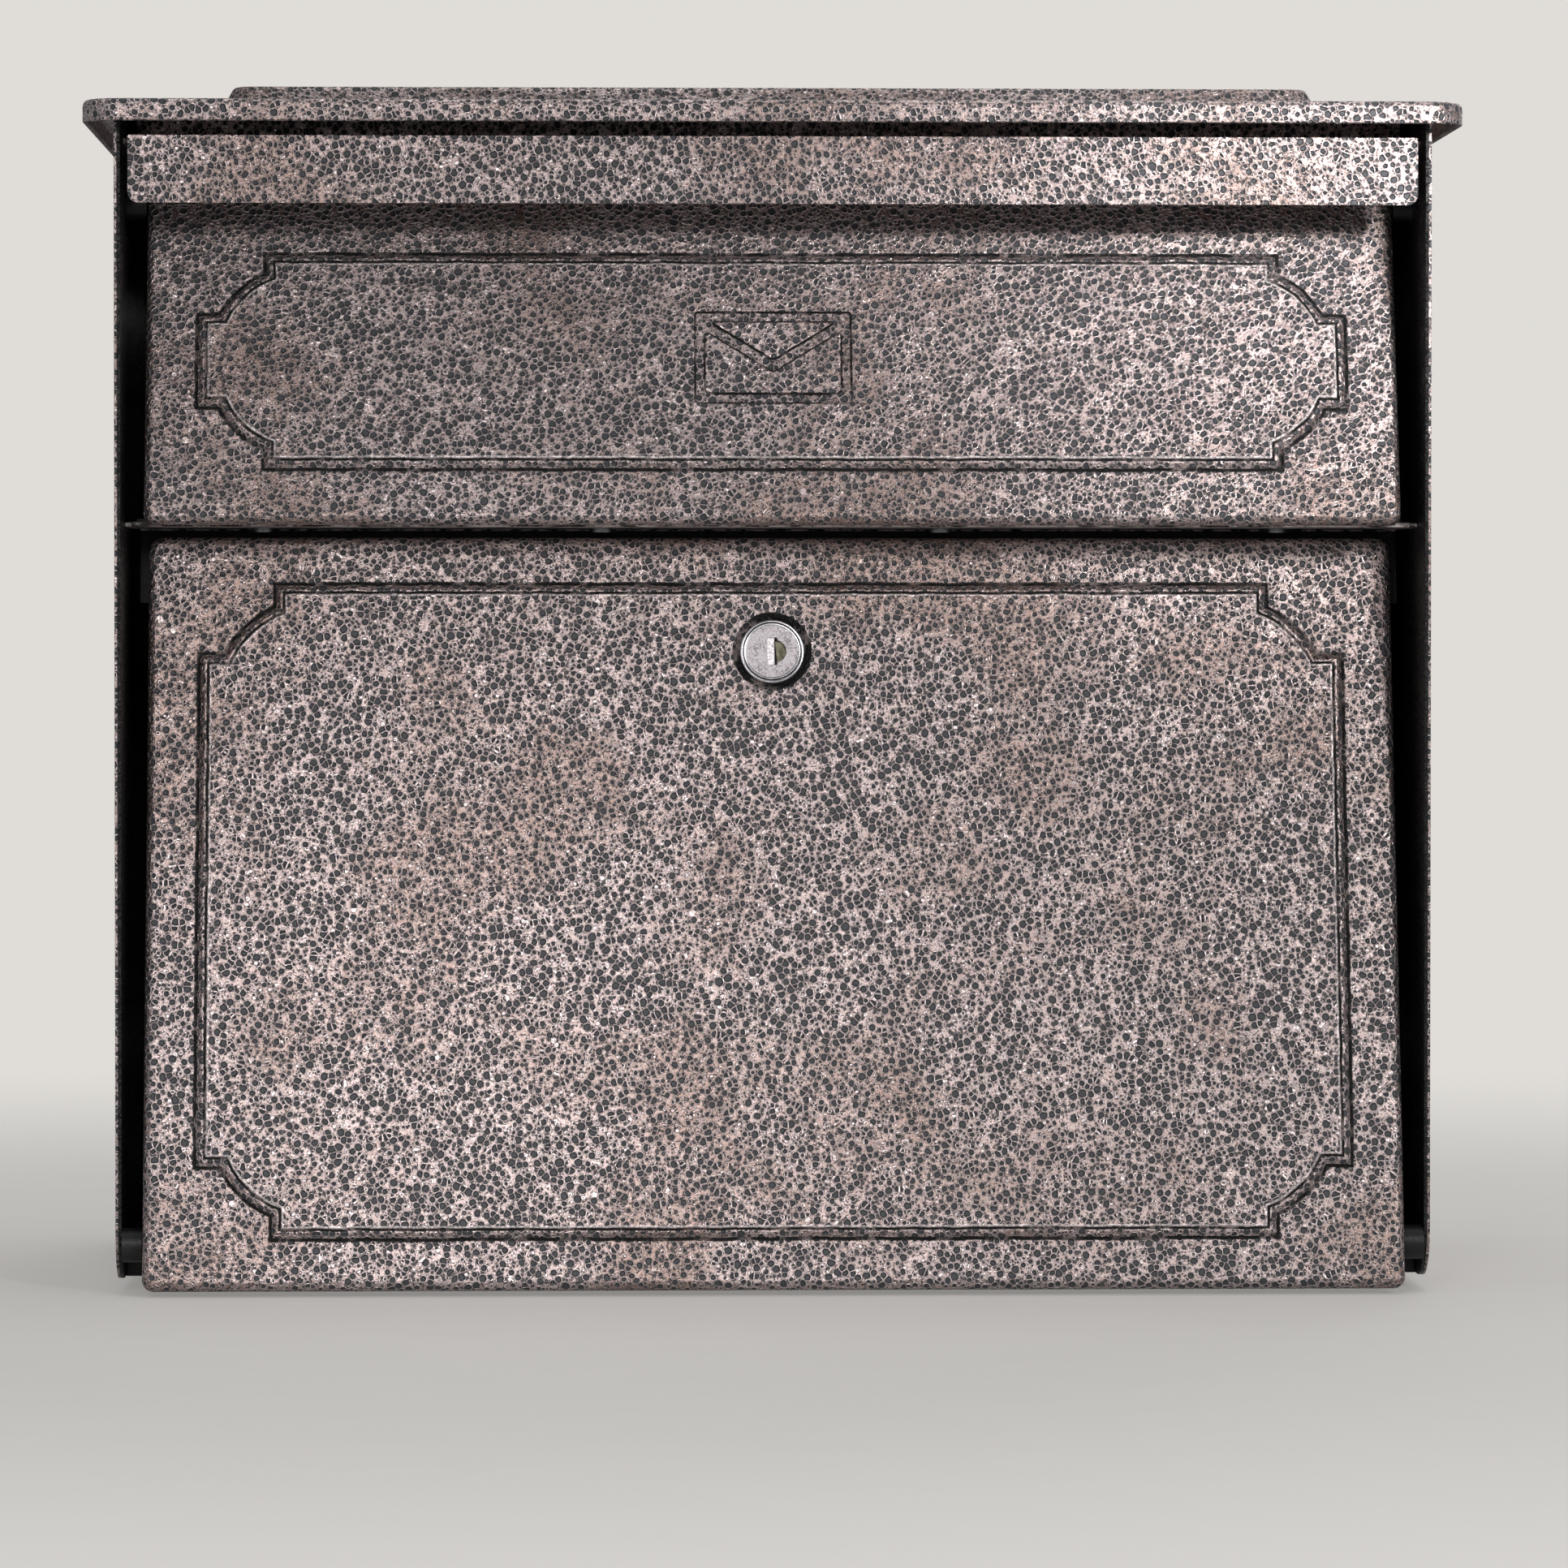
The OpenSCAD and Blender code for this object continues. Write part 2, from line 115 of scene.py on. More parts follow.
lock_axis = Vector(joint("lock_turn")["axis"])
flap_out = Vector((0, -math.cos(FLAP_LEAN), math.sin(FLAP_LEAN)))
DOOR = leaning_place(Vector(joint("lock_turn")["pos_m"]), lock_axis, LOCK_V, 0)
FLAP = leaning_place(Vector(joint("flap_hinge")["pos_m"]), flap_out, *FLAP_HINGE)
LOCK = DOOR @ Matrix.Translation((0, LOCK_V, 0))


# ---------------------------------------------------------------- outlines

def rounded_outline(w, low, high, r_low, r_high, inset, stations):
    """A rounded rectangle, anticlockwise from the right side's foot, with points along its sides."""
    half = w / 2 - inset
    low += inset
    high -= inset
    r_low = max(r_low - inset, 0.05)
    r_high = max(r_high - inset, 0.05)
    side = sorted(set(stations))
    points = [(half, v) for v in side]
    points += arc((half - r_high, high - r_high), r_high, 0, 90, CORNER_STEPS)
    count = max(2, round(w / EDGE_PITCH))
    top = [(half - r_high) * (1 - 2 * i / count) for i in range(1, count)]
    points += [(x, high) for x in top]
    points += arc((-half + r_high, high - r_high), r_high, 90, 180, CORNER_STEPS)
    points += [(-half, v) for v in reversed(side)]
    points += arc((-half + r_low, low + r_low), r_low, 180, 270, CORNER_STEPS)
    bottom = [(half - r_low) * (2 * i / count - 1) for i in range(1, count)]
    points += [(x, low) for x in bottom]
    points += arc((half - r_low, low + r_low), r_low, 270, 360, CORNER_STEPS)
    return points


def arc(centre, r, start, end, steps):
    """Points on an arc, in degrees, both ends included."""
    turns = [math.radians(start + (end - start) * i / steps) for i in range(steps + 1)]
    return [(centre[0] + r * math.cos(t), centre[1] + r * math.sin(t)) for t in turns]


def straight(a, b, steps):
    """Points from a to b, both ends left out."""
    return [(a[0] + (b[0] - a[0]) * i / steps, a[1] + (b[1] - a[1]) * i / steps)
            for i in range(1, steps)]


def notched_outline(w, low, high, notch, inset, side_steps, top_steps):
    """The raised field's outline: each corner steps in, bulges out and steps in again."""
    half_w = w / 2
    half_h = (high - low) / 2
    middle = (low + high) / 2
    side_cut = 0.95 * notch
    reach = 1.6 * notch
    r = 1.42 * notch - inset
    start = math.degrees(math.asin((reach - side_cut - inset) / r))
    end = math.degrees(math.acos((reach - notch - inset) / r))
    corner = [(half_w - inset, half_h - side_cut - inset)]
    curve = arc((half_w - reach, half_h - reach), r, start, end, 12)
    corner += straight(corner[0], curve[0], 3)
    corner += curve
    last = (half_w - notch - inset, half_h - inset)
    corner += straight(curve[-1], last, 3) + [last]
    mirrored = [(-x, y) for x, y in reversed(corner)]
    ring = list(corner)
    ring += straight(corner[-1], mirrored[0], top_steps)
    ring += mirrored
    opposite = [(-x, -y) for x, y in corner]
    ring += straight(mirrored[-1], opposite[0], side_steps)
    ring += opposite
    closing = [(-x, -y) for x, y in mirrored]
    ring += straight(opposite[-1], closing[0], top_steps)
    ring += closing
    ring += straight(closing[-1], corner[0], side_steps)
    return [(x, y + middle) for x, y in ring]


def rounded_polygon(points, r, steps=4):
    """A polygon with a small round at each corner."""
    out = []
    count = len(points)
    for i, p in enumerate(points):
        here = Vector(p)
        back = (Vector(points[i - 1]) - here).normalized()
        ahead = (Vector(points[(i + 1) % count]) - here).normalized()
        for step in range(steps + 1):
            t = step / steps
            blend = back * r * (1 - t) ** 2 + ahead * r * t ** 2
            out.append(tuple(here + blend))
    return out


def offset_polygon(points, distance):
    """Moves an anticlockwise outline outwards by a small distance."""
    out = []
    count = len(points)
    for i, p in enumerate(points):
        before = Vector(points[i - 1])
        after = Vector(points[(i + 1) % count])
        along = (after - before).normalized()
        out.append((p[0] + along.y * distance, p[1] - along.x * distance))
    return out


# ---------------------------------------------------------------- shells

class Shell:
    """A closed mesh made of rings and flat fills.

    A point attribute tells the coat where painted shade darkens folds, creases and recesses, above 0,
    and where a painted highlight brightens an edge beside them, below 0.
    """

    def __init__(self, place):
        self.bm = bmesh.new()
        self.shade_and_highlight = self.bm.verts.layers.float.new("shade_and_highlight")
        self.place = place

    def ring(self, outline, heights, shade_and_highlight=0.0, waver=0.0):
        """Adds one ring of points. heights is one number, or one for each point."""
        if not isinstance(heights, (list, tuple)):
            heights = [heights] * len(outline)
        ring = []
        for (x, y), n in zip(outline, heights):
            shift = noise.noise_vector(Vector((x * 0.21, y * 0.21, 3.7))) * waver
            vert = self.bm.verts.new(self.place @ Vector((x + shift.x, y + shift.y, n)))
            vert[self.shade_and_highlight] = shade_and_highlight
            ring.append(vert)
        return ring

    def bridge(self, a, b):
        """Joins two rings of the same length with quads."""
        count = len(a)
        for i in range(count):
            j = (i + 1) % count
            self.bm.faces.new((a[i], a[j], b[j], b[i]))

    def stack(self, rings):
        """Joins each ring to the next and returns the last."""
        for a, b in zip(rings, rings[1:]):
            self.bridge(a, b)
        return rings[-1]

    def fill(self, *rings):
        """Fills the flat area between an outer ring and any inner ones."""
        edges = []
        for ring in rings:
            for i, vert in enumerate(ring):
                other = ring[(i + 1) % len(ring)]
                edge = self.bm.edges.get((vert, other)) or self.bm.edges.new((vert, other))
                edges.append(edge)
        normal = self.place.to_3x3() @ Vector((0, 0, 1))
        bmesh.ops.triangle_fill(self.bm, use_beauty=True, edges=edges, normal=normal)

    def finish(self, name, body, materials, replaces=(), smooth_angle=40):
        """Turns the mesh into a piece that rides on a body."""
        bmesh.ops.recalc_face_normals(self.bm, faces=self.bm.faces)
        mesh = bpy.data.meshes.new(name)
        self.bm.to_mesh(mesh)
        self.bm.free()
        for face in mesh.polygons:
            face.use_smooth = True
        piece = bpy.data.objects.new(name, mesh)
        bpy.context.scene.collection.objects.link(piece)
        for item in materials:
            mesh.materials.append(item)
        mesh.set_sharp_from_angle(angle=math.radians(smooth_angle))
        even = piece.modifiers.new("even_shading", "WEIGHTED_NORMAL")
        even.keep_sharp = True
        even.weight = SHADING_WEIGHT
        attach(piece, body)
        if replaces:
            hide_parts(*replaces)
        return piece


def fold_rings(shell, outline, bend, depth_at):
    """A sheet's folded edge: round the outer bend, down to the free edge and back up inside."""
    inner = max(bend - SHEET, 0.3)
    soft = 0.3
    rings = []
    # The outer bend and the free edge carry painted shade, darkest at the edge.
    for i in range(BEND_STEPS + 1):
        turn = math.radians(90 * i / BEND_STEPS)
        ring = outline(bend * (1 - math.sin(turn)))
        drop = -bend * (1 - math.cos(turn))
        rings.append(shell.ring(ring, drop, shade_and_highlight=0.12 * math.sin(turn)))
    edge = outline(0)
    ends = [-depth_at(x, v) for x, v in edge]
    rings.append(shell.ring(edge, [n + soft for n in ends], shade_and_highlight=0.35))
    rings.append(shell.ring(outline(soft), ends, shade_and_highlight=0.5))
    rings.append(shell.ring(outline(SHEET - soft), ends, shade_and_highlight=0.5))
    rings.append(shell.ring(outline(SHEET), [n + soft for n in ends], shade_and_highlight=0.35))
    for i in range(BEND_STEPS + 1):
        turn = math.radians(90 * i / BEND_STEPS)
        ring = outline(SHEET + inner * (1 - math.cos(turn)))
        drop = -SHEET - inner * (1 - math.sin(turn))
        rings.append(shell.ring(ring, drop))
    shell.stack(rings)
    return rings[0], rings[-1]


# Each step: distance in from the field's edge, height, painted shade in the creases (its darkness), and
# painted highlight beside them where the value is below 0.
RELIEF_PROFILE = [
    (-1.1, 0, 0), (-0.55, -0.06, 0.5), (-0.1, -0.24, 1), (0.25, -0.1, 0.9), (0.6, 0.25, 0),
    (1.1, 0.66, -0.35), (1.6, 1.02, 0), (2.05, 1.14, 0), (2.45, 1.06, 0.6), (2.75, 0.92, 1),
    (3.0, 1.04, 0.7), (3.25, 1.32, -1), (3.6, 1.38, -0.6), (4.1, RELIEF_H, 0),
]
BACK_PROFILE = [(0.4, -SHEET), (1.0, -1.35), (3.2, -0.3), (3.9, RELIEF_H - SHEET)]


def relief(shell, low, high, notch, side_steps):
    """The stamped step round a raised field, on the front and on the back of the sheet."""
    front = []
    for inset, height, shade_and_highlight in RELIEF_PROFILE:
        ring = notched_outline(FIELD_W, low, high, notch, inset, side_steps, FIELD_TOP_STEPS)
        front.append(shell.ring(ring, height, shade_and_highlight, waver=0.28))
    back = []
    for inset, height in BACK_PROFILE:
        ring = notched_outline(FIELD_W, low, high, notch, inset, side_steps, FIELD_TOP_STEPS)
        back.append(shell.ring(ring, height))
    shell.stack(front)
    shell.stack(back)
    return front[0], front[-1], back[0], back[-1]


def circle(r, sides=LOCK_SIDES, centre=(0, 0)):
    """Points on a circle, anticlockwise."""
    return arc(centre, r, 0, 360, sides)[:-1]


def access_door(coat):
    """The door: a folded pan with a raised field, hinge ears and the lock's dished seat."""
    shell = Shell(DOOR)
    ear_r = 6.5
    hinge_v, hinge_n = DOOR_HINGE
    # Heights of the points along each side: close together round the hinge ear.
    ear = [hinge_v - ear_r * math.cos(math.radians(15 * i)) for i in range(13)]
    side = ear + [6.5] + [26 + 6.2 * i for i in range(31)]

    def outline(inset):
        return rounded_outline(PANEL_W, 0, DOOR_LEN, 3.2, 4.2, inset, side)

    def depth(x, v):
        foot_depth = 5.0
        side_depth = 10.0
        if v < 2.6:
            return foot_depth
        on_side = abs(x) > PANEL_W / 2 - 3
        if on_side and abs(v - hinge_v) < ear_r:
            return max(side_depth, -hinge_n + math.sqrt(ear_r ** 2 - (v - hinge_v) ** 2))
        return side_depth

    face, back = fold_rings(shell, outline, PANEL_BEND, depth)
    outer, inner, back_outer, back_inner = relief(shell, *DOOR_FIELD, DOOR_NOTCH, DOOR_SIDE_STEPS)
    shell.fill(face, outer)
    shell.fill(back, back_outer)
    # Rings of the dished seat: radius, height, painted shade in the dish (its darkness).
    seat = [(12.2, RELIEF_H, 0), (11.6, 1.27, 0.5), (11.25, 1.05, 0.8), (10.5, 0.45, 0.85),
            (9.9, -0.22, 0.85), (9.5, SEAT_N, 0.85), (8.25, SEAT_N, 0.8), (8.2, -0.4, 0.6),
            (8.2, SEAT_N - SHEET, 0)]
    rings = [shell.ring(circle(r, centre=(0, LOCK_V)), n, dark) for r, n, dark in seat]
    rings.append(shell.ring(circle(12.6, centre=(0, LOCK_V)), SEAT_N - SHEET))
    rings.append(shell.ring(circle(12.8, centre=(0, LOCK_V)), RELIEF_H - SHEET))
    shell.stack(rings)
    shell.fill(inner, rings[0])
    shell.fill(back_inner, rings[-1])
    piece = shell.finish("door_shell", "door", [coat], ["access_door"])
    bore(piece, DOOR, DOOR_HINGE, DOOR_BORE_R)
    return piece


def bore(piece, place, hinge, r):
    """Cuts the hinge bore through both side folds."""
    mesh = bpy.data.meshes.new(piece.name + "_bore")
    bm = bmesh.new()
    sides = 32
    for end in (-1, 1):
        x_in, x_out = (end * (PANEL_W / 2 + d) for d in (-4, 2))
        rings = []
        for x in (x_in, x_out):
            ring = [bm.verts.new(place @ Vector((x, hinge[0] + a, hinge[1] + b)))
                    for a, b in circle(r, sides)]
            rings.append(ring)
        for i in range(sides):
            j = (i + 1) % sides
            bm.faces.new((rings[0][i], rings[0][j], rings[1][j], rings[1][i]))
        bm.faces.new(rings[0])
        bm.faces.new(rings[1])
    bmesh.ops.recalc_face_normals(bm, faces=bm.faces)
    bm.to_mesh(mesh)
    bm.free()
    cutter = bpy.data.objects.new(mesh.name, mesh)
    bpy.context.scene.collection.objects.link(cutter)
    cut = piece.modifiers.new("hinge_bore", "BOOLEAN")
    cut.object = cutter
    cut.operation = "DIFFERENCE"
    cut.solver = "EXACT"
    piece.modifiers.move(len(piece.modifiers) - 1, 0)
    bake_modifier(piece, cut, cutter)


def bake_modifier(piece, modifier, helper):
    """Applies one modifier to the piece's mesh and deletes its helper object."""
    others = [m for m in piece.modifiers if m != modifier]
    for item in others:
        item.show_viewport = False
    bpy.context.view_layer.update()
    graph = bpy.context.evaluated_depsgraph_get()
    made = bpy.data.meshes.new_from_object(piece.evaluated_get(graph), depsgraph=graph)
    made.name = piece.name
    piece.modifiers.remove(modifier)
    piece.data = made
    for item in others:
        item.show_viewport = True
    bpy.data.objects.remove(helper)


def mail_flap(coat):
    """The lift-up flap: a shallow pan with a raised field and a pressed envelope sign."""
    shell = Shell(FLAP)
    side = [8 + 6.2 * i for i in range(15)]

    def outline(inset):
        return rounded_outline(PANEL_W, 0, FLAP_LEN, 3, 3, inset, side)

    def depth(x, v):
        return 4.0 if v < 2.6 else 8.0

    face, back = fold_rings(shell, outline, PANEL_BEND, depth)
    outer, inner, back_outer, back_inner = relief(shell, *FLAP_FIELD, FLAP_NOTCH, FLAP_SIDE_STEPS)
    shell.fill(face, outer)
    shell.fill(back, back_outer)
    islands = envelope_sign(shell, sum(FLAP_FIELD) / 2 + 1)
    shell.fill(inner, islands[0])
    shell.fill(back_inner)
    piece = shell.finish("flap_shell", "flap", [coat], ["mail_flap"])
    bore(piece, FLAP, FLAP_HINGE, FLAP_BORE_R)
    return piece


def envelope_sign(shell, middle):
    """A plain envelope pressed into the field: one outer edge and two islands left standing."""
    w, h, stroke = 46, 28, 3.2
    depth = 0.7
    corner_r = 1.3
    rise = h * 0.52
    slope = rise / (w / 2)
    inner_x = w / 2 - stroke
    inner_y = h / 2 - stroke
    dip = -h * 0.02
    tip_x = (inner_y - dip) / slope
    upper = [(tip_x, inner_y), (-tip_x, inner_y), (0, dip)]
    fall = dip - stroke * 1.3
    shoulder = fall + slope * inner_x
    lower = [(-inner_x, -inner_y), (inner_x, -inner_y), (inner_x, shoulder), (0, fall),
             (-inner_x, shoulder)]
    border = [(w / 2, h / 2), (-w / 2, h / 2), (-w / 2, -h / 2), (w / 2, -h / 2)]
    floors = []
    tops = []
    for points, grow in ((border, 1), (upper, -1), (lower, -1)):
        loop = [(x, y + middle) for x, y in rounded_polygon(points, corner_r)]
        # Steps: offset, drop, and painted shade that darkens the pressed-in recess.
        steps = [(0.45, 0, 0), (0.12, -0.06, 0.35), (-0.1, -0.35, 0.8), (-0.3, -depth, 0.75),
                 (-0.6, -depth, 0.38)]
        rings = [shell.ring(offset_polygon(loop, grow * out), RELIEF_H + drop, dark, waver=0.12)
                 for out, drop, dark in steps]
        shell.stack(rings)
        tops.append(rings[0])
        floors.append(rings[-1])
    shell.fill(*floors)
    for island in tops[1:]:
        shell.fill(island)
    return tops


def roof_cap(coat):
    """The roof pan: a lip on three sides and a stamped platform with soft edges."""
    low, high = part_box("roof_cap")
    width = (high.x - low.x) / MM
    deep = (high.y - low.y) / MM
    lip = 6.5
    rise = 6.9
    platform_r = 9
    top = high.z / MM - rise
    place = Matrix.Translation((0, 0, top * MM)) @ Matrix.Scale(MM, 4)
    shell = Shell(place)
    side = [-deep + 14 + 6.4 * i for i in range(30)]

    def outline(inset):
        return rounded_outline(width, -deep, 0, 11, 3, inset, side)

    def depth(x, v):
        at_back = v > -1.6 and abs(x) < width / 2 - SHEET - 0.1
        return SHEET + 0.32 if at_back else lip

    face, under = fold_rings(shell, outline, 1.75, depth)
    inset = 38.5
    base_w = width - 2 * inset
    # Steps of the platform's wall: distance in, height, painted shade on the wall (its darkness).
    wall = [(-1.4, 0, 0.2), (-0.7, 0.08, 0.4), (-0.1, 0.5, 0.45), (0.5, 1.5, 0.42), (1.4, 3.2, 0.4),
            (2.4, 5.0, 0.4), (3.0, 6.1, 0.4), (3.7, 6.7, 0.35), (4.6, rise, 0)]
    steps = [-deep + inset + 12 + 6.2 * i for i in range(18)]
    rings = []
    for distance, height, dark in wall:
        ring = rounded_outline(base_w, -deep + inset, -inset, platform_r, platform_r, distance, steps)
        rings.append(shell.ring(ring, height, dark))
    shell.stack(rings)
    shell.fill(face, rings[0])
    shell.fill(rings[-1])
    hollow = [(0.6, -SHEET), (1.2, -SHEET + 0.5), (3.6, 4.6), (4.8, rise - SHEET)]
    rings = []
    for distance, height in hollow:
        ring = rounded_outline(base_w, -deep + inset, -inset, platform_r, platform_r, distance, steps)
        rings.append(shell.ring(ring, height))
    shell.stack(rings)
    shell.fill(under, rings[0])
    shell.fill(rings[-1])
    return shell.finish("roof_shell", "case", [coat], ["roof_cap"])


# ---------------------------------------------------------------- lock

def lock_body(chrome):
    """The fixed housing: a ringed bezel in front and a threaded barrel with two flats behind."""
    shell = Shell(LOCK)
    flat = 6.8
    bore_r = 6.05
    barrel_back = -17

    def barrel(r):
        return [(max(-flat, min(flat, x)), y) for x, y in circle(r)]

    # Rings of the bezel, from its back over the front to the bore: radius, height.
    outside = [(8.7, -0.3), (9.42, -0.28), (9.5, -0.1), (9.5, 0.72), (9.42, 0.98), (9.26, 1.14),
               (9.12, 1.16), (9.06, 1.06), (8.98, 1.05), (8.92, 1.2), (8.84, 1.3), (8.74, 1.28),
               (8.66, 1.12), (8.62, 0.85), (8.6, 0.1), (bore_r, 0.1)]
    rings = [shell.ring(circle(r), n) for r, n in outside]
    rings.append(shell.ring(circle(bore_r), barrel_back))
    pitch = 1.0
    threads = 15
    for i in range(threads):
        root = barrel_back + 0.1 + i * pitch
        for r, shift in ((7.6, 0), (7.98, 0.35), (7.98, 0.5), (7.6, 0.85)):
            rings.append(shell.ring(barrel(r), root + shift))
    rings.append(shell.ring(barrel(8.0), -0.3))
    rings.append(rings[0])
    shell.stack(rings)
    return shell.finish("lock_housing", "door", [chrome], ["lock_body"], 50)


def keyhole(key_x):
    """The key slot with the half-moon beside it, as one outline."""
    slot_half = 4.1
    slot_w = 0.7
    moon_r = 3.35
    start = math.degrees(math.asin(slot_w / moon_r))
    moon = arc((key_x + 0.05, 0), moon_r, -90 + start, 90 - start, 20)
    points = [(key_x, -slot_half), (key_x + slot_w, -slot_half)]
    points += moon
    points += [(key_x + slot_w, slot_half), (key_x, slot_half)]
    return points


def rectangle(x_low, x_high, half):
    """A rectangle that is centred along y."""
    return [(x_low, -half), (x_high, -half), (x_high, half), (x_low, half)]


def lock_plug(ring_metal, face_metal, dark, rib_metal):
    """The turning core: a polished rim, a satin face, the keyhole with its pocket, and the tang."""
    shell = Shell(LOCK)
    key_x = 0.75
    face_n = 1.02
    core_r = 6.0
    core_back = -17.2
    tang_back = -19.4
    screw_r = 2.05
    screw_deep = -13.4
    pocket_top = 0.3
    pocket_low = -1.5
    # Rings of the polished rim: radius, height.
    rim = [(core_r, 0.2), (8.5, 0.2), (8.5, 0.98), (8.44, 1.1), (8.3, 1.2), (8.05, 1.2),
           (7.75, 1.06), (7.68, face_n)]
    rings = [shell.ring(circle(r), n) for r, n in rim]
    shell.stack(rings)
    hole = keyhole(key_x)
    mouth = shell.ring(offset_polygon(hole, 0.07), face_n)
    lip = shell.ring(hole, 0.94)
    throat = shell.ring(hole, pocket_top)
    shell.fill(rings[-1], mouth)
    shell.stack([mouth, lip, throat])
    pocket = rectangle(-3, 4.5, 3.6)
    ceiling = shell.ring(pocket, pocket_top)
    ground = shell.ring(pocket, pocket_low)
    shell.fill(ceiling, throat)
    shell.bridge(ceiling, ground)
    shell.fill(ground)
    core_end = shell.ring(circle(core_r), core_back)
    shell.bridge(rings[0], core_end)
    tang = rectangle(-3.5, 3.5, 3.5)
    tang_foot = shell.ring(tang, core_back)
    tang_end = shell.ring(tang, tang_back)
    shell.fill(core_end, tang_foot)
    shell.bridge(tang_foot, tang_end)
    screw = shell.ring(circle(screw_r, 32), tang_back)
    screw_end = shell.ring(circle(screw_r, 32), screw_deep)
    shell.fill(tang_end, screw)
    shell.bridge(screw, screw_end)
    shell.fill(screw_end)
    rib(shell, (-1.5, -4.2), (0.55, 4.2), 1.01, 1.3)
    # Material 1 is the satin face, 2 the dark inside, painted near black as shade, 3 the rubbed rib and
    # 0 the polished rim.
    to_lock = LOCK.inverted()
    materials = [ring_metal, face_metal, dark, rib_metal]
    for face in shell.bm.faces:
        spot = to_lock @ face.calc_center_median()
        radius = math.hypot(spot.x, spot.y)
        inside = spot.z < 0.9 and radius < 5.5
        if inside or radius > 8.2:
            face.material_index = 2
        elif spot.z > 0.9 and radius < 7.6:
            on_rib = spot.z > 1.05 and -1.6 < spot.x < 0.65
            face.material_index = 3 if on_rib else 1
    return shell.finish("lock_core_face", "lock_core", materials, ["lock_plug"], 35)


def rib(shell, low, high, base, top):
    """A low raised bar with rounded shoulders, closed on its own."""
    points = [(high[0], low[1]), (high[0], high[1]), (low[0], high[1]), (low[0], low[1])]
    loop = rounded_polygon(points, 0.5)
    steps = [(0, base - 0.06), (0, top - 0.14), (-0.06, top - 0.04), (-0.18, top)]
    rings = [shell.ring(offset_polygon(loop, out), n) for out, n in steps]
    shell.stack(rings)
    shell.fill(rings[-1])
    shell.fill(rings[0])


# ---------------------------------------------------------------- materials

class Graph:
    """A material's node tree, with one short call for each node."""

    def __init__(self, name):
        self.material = bpy.data.materials.new(name)
        self.material.use_nodes = True
        self.nodes = self.material.node_tree.nodes
        self.links = self.material.node_tree.links
        self.shader = self.nodes["Principled BSDF"]
        self.place = self.nodes.new("ShaderNodeTexCoord").outputs["Object"]

    def put(self, socket, value):
        """Links or sets one input."""
        if isinstance(value, bpy.types.NodeSocket):
            self.links.new(value, socket)
        else:
            socket.default_value = value

    def math(self, kind, a, b=0.0, c=0.0, clamp=False):
        """One math node."""
        item = self.nodes.new("ShaderNodeMath")
        item.operation = kind
        item.use_clamp = clamp
        for socket, value in zip(item.inputs, (a, b, c)):
            self.put(socket, value)
        return item.outputs[0]

    def vector(self, kind, a, b):
        """One vector math node with a vector result."""
        item = self.nodes.new("ShaderNodeVectorMath")
        item.operation = kind
        self.put(item.inputs[0], a)
        if kind == "SCALE":
            self.put(item.inputs["Scale"], b)
        else:
            self.put(item.inputs[1], b)
        return item.outputs[0]

    def turned(self, place, axis, angle):
        """Turns places about an axis through the origin."""
        item = self.nodes.new("ShaderNodeVectorRotate")
        self.put(item.inputs["Vector"], place)
        item.inputs["Axis"].default_value = axis
        item.inputs["Angle"].default_value = angle
        return item.outputs[0]

    def noise(self, scale, detail=2.0, rough=0.5, place=None, colour=False):
        """Smooth noise, from 0 to 1."""
        item = self.nodes.new("ShaderNodeTexNoise")
        self.put(item.inputs["Vector"], place or self.place)
        item.inputs["Scale"].default_value = scale
        item.inputs["Detail"].default_value = detail
        item.inputs["Roughness"].default_value = rough
        return item.outputs["Color" if colour else "Fac"]

    def cells(self, scale, place, scatter):
        """Distance to the nearest of many scattered points, and that point's random number."""
        item = self.nodes.new("ShaderNodeTexVoronoi")
        self.put(item.inputs["Vector"], place)
        item.inputs["Scale"].default_value = scale
        item.inputs["Randomness"].default_value = scatter
        split = self.nodes.new("ShaderNodeSeparateColor")
        self.links.new(item.outputs["Color"], split.inputs[0])
        return item.outputs["Distance"], split.outputs[0]

    def cell_wall(self, scale, place, scatter):
        """Distance to the wall between two of the same scattered points."""
        item = self.nodes.new("ShaderNodeTexVoronoi")
        item.feature = "DISTANCE_TO_EDGE"
        self.put(item.inputs["Vector"], place)
        item.inputs["Scale"].default_value = scale
        item.inputs["Randomness"].default_value = scatter
        return item.outputs["Distance"]

    def range(self, value, low, high, to_low=0.0, to_high=1.0):
        """Maps a value from one range onto another, with soft ends."""
        item = self.nodes.new("ShaderNodeMapRange")
        item.interpolation_type = "SMOOTHSTEP"
        for socket, number in zip(item.inputs, (value, low, high, to_low, to_high)):
            self.put(socket, number)
        return item.outputs[0]

    def mix(self, share, a, b):
        """Mixes two colours."""
        item = self.nodes.new("ShaderNodeMix")
        item.data_type = "RGBA"
        self.put(item.inputs[0], share)
        self.put(item.inputs[6], a)
        self.put(item.inputs[7], b)
        return item.outputs[2]

    def blend(self, share, a, b):
        """Mixes two numbers."""
        item = self.nodes.new("ShaderNodeMix")
        self.put(item.inputs[0], share)
        self.put(item.inputs[2], a)
        self.put(item.inputs[3], b)
        return item.outputs[0]

    def attribute(self, name):
        """A number stored at the mesh's points."""
        item = self.nodes.new("ShaderNodeAttribute")
        item.attribute_name = name
        return item.outputs["Fac"]

    def bump(self, height):
        """Sends a height in metres to the shader's normal."""
        item = self.nodes.new("ShaderNodeBump")
        item.inputs["Strength"].default_value = 1.0
        item.inputs["Distance"].default_value = 1.0
        self.put(item.inputs["Height"], height)
        self.put(self.shader.inputs["Normal"], item.outputs[0])

    def set(self, **values):
        """Links or sets the shader's inputs by their plain names."""
        for name, value in values.items():
            self.put(self.shader.inputs[name.replace("_", " ")], value)
        return self.material


def rgb(r, g, b):
    """A linear colour."""
    return (r, g, b, 1.0)


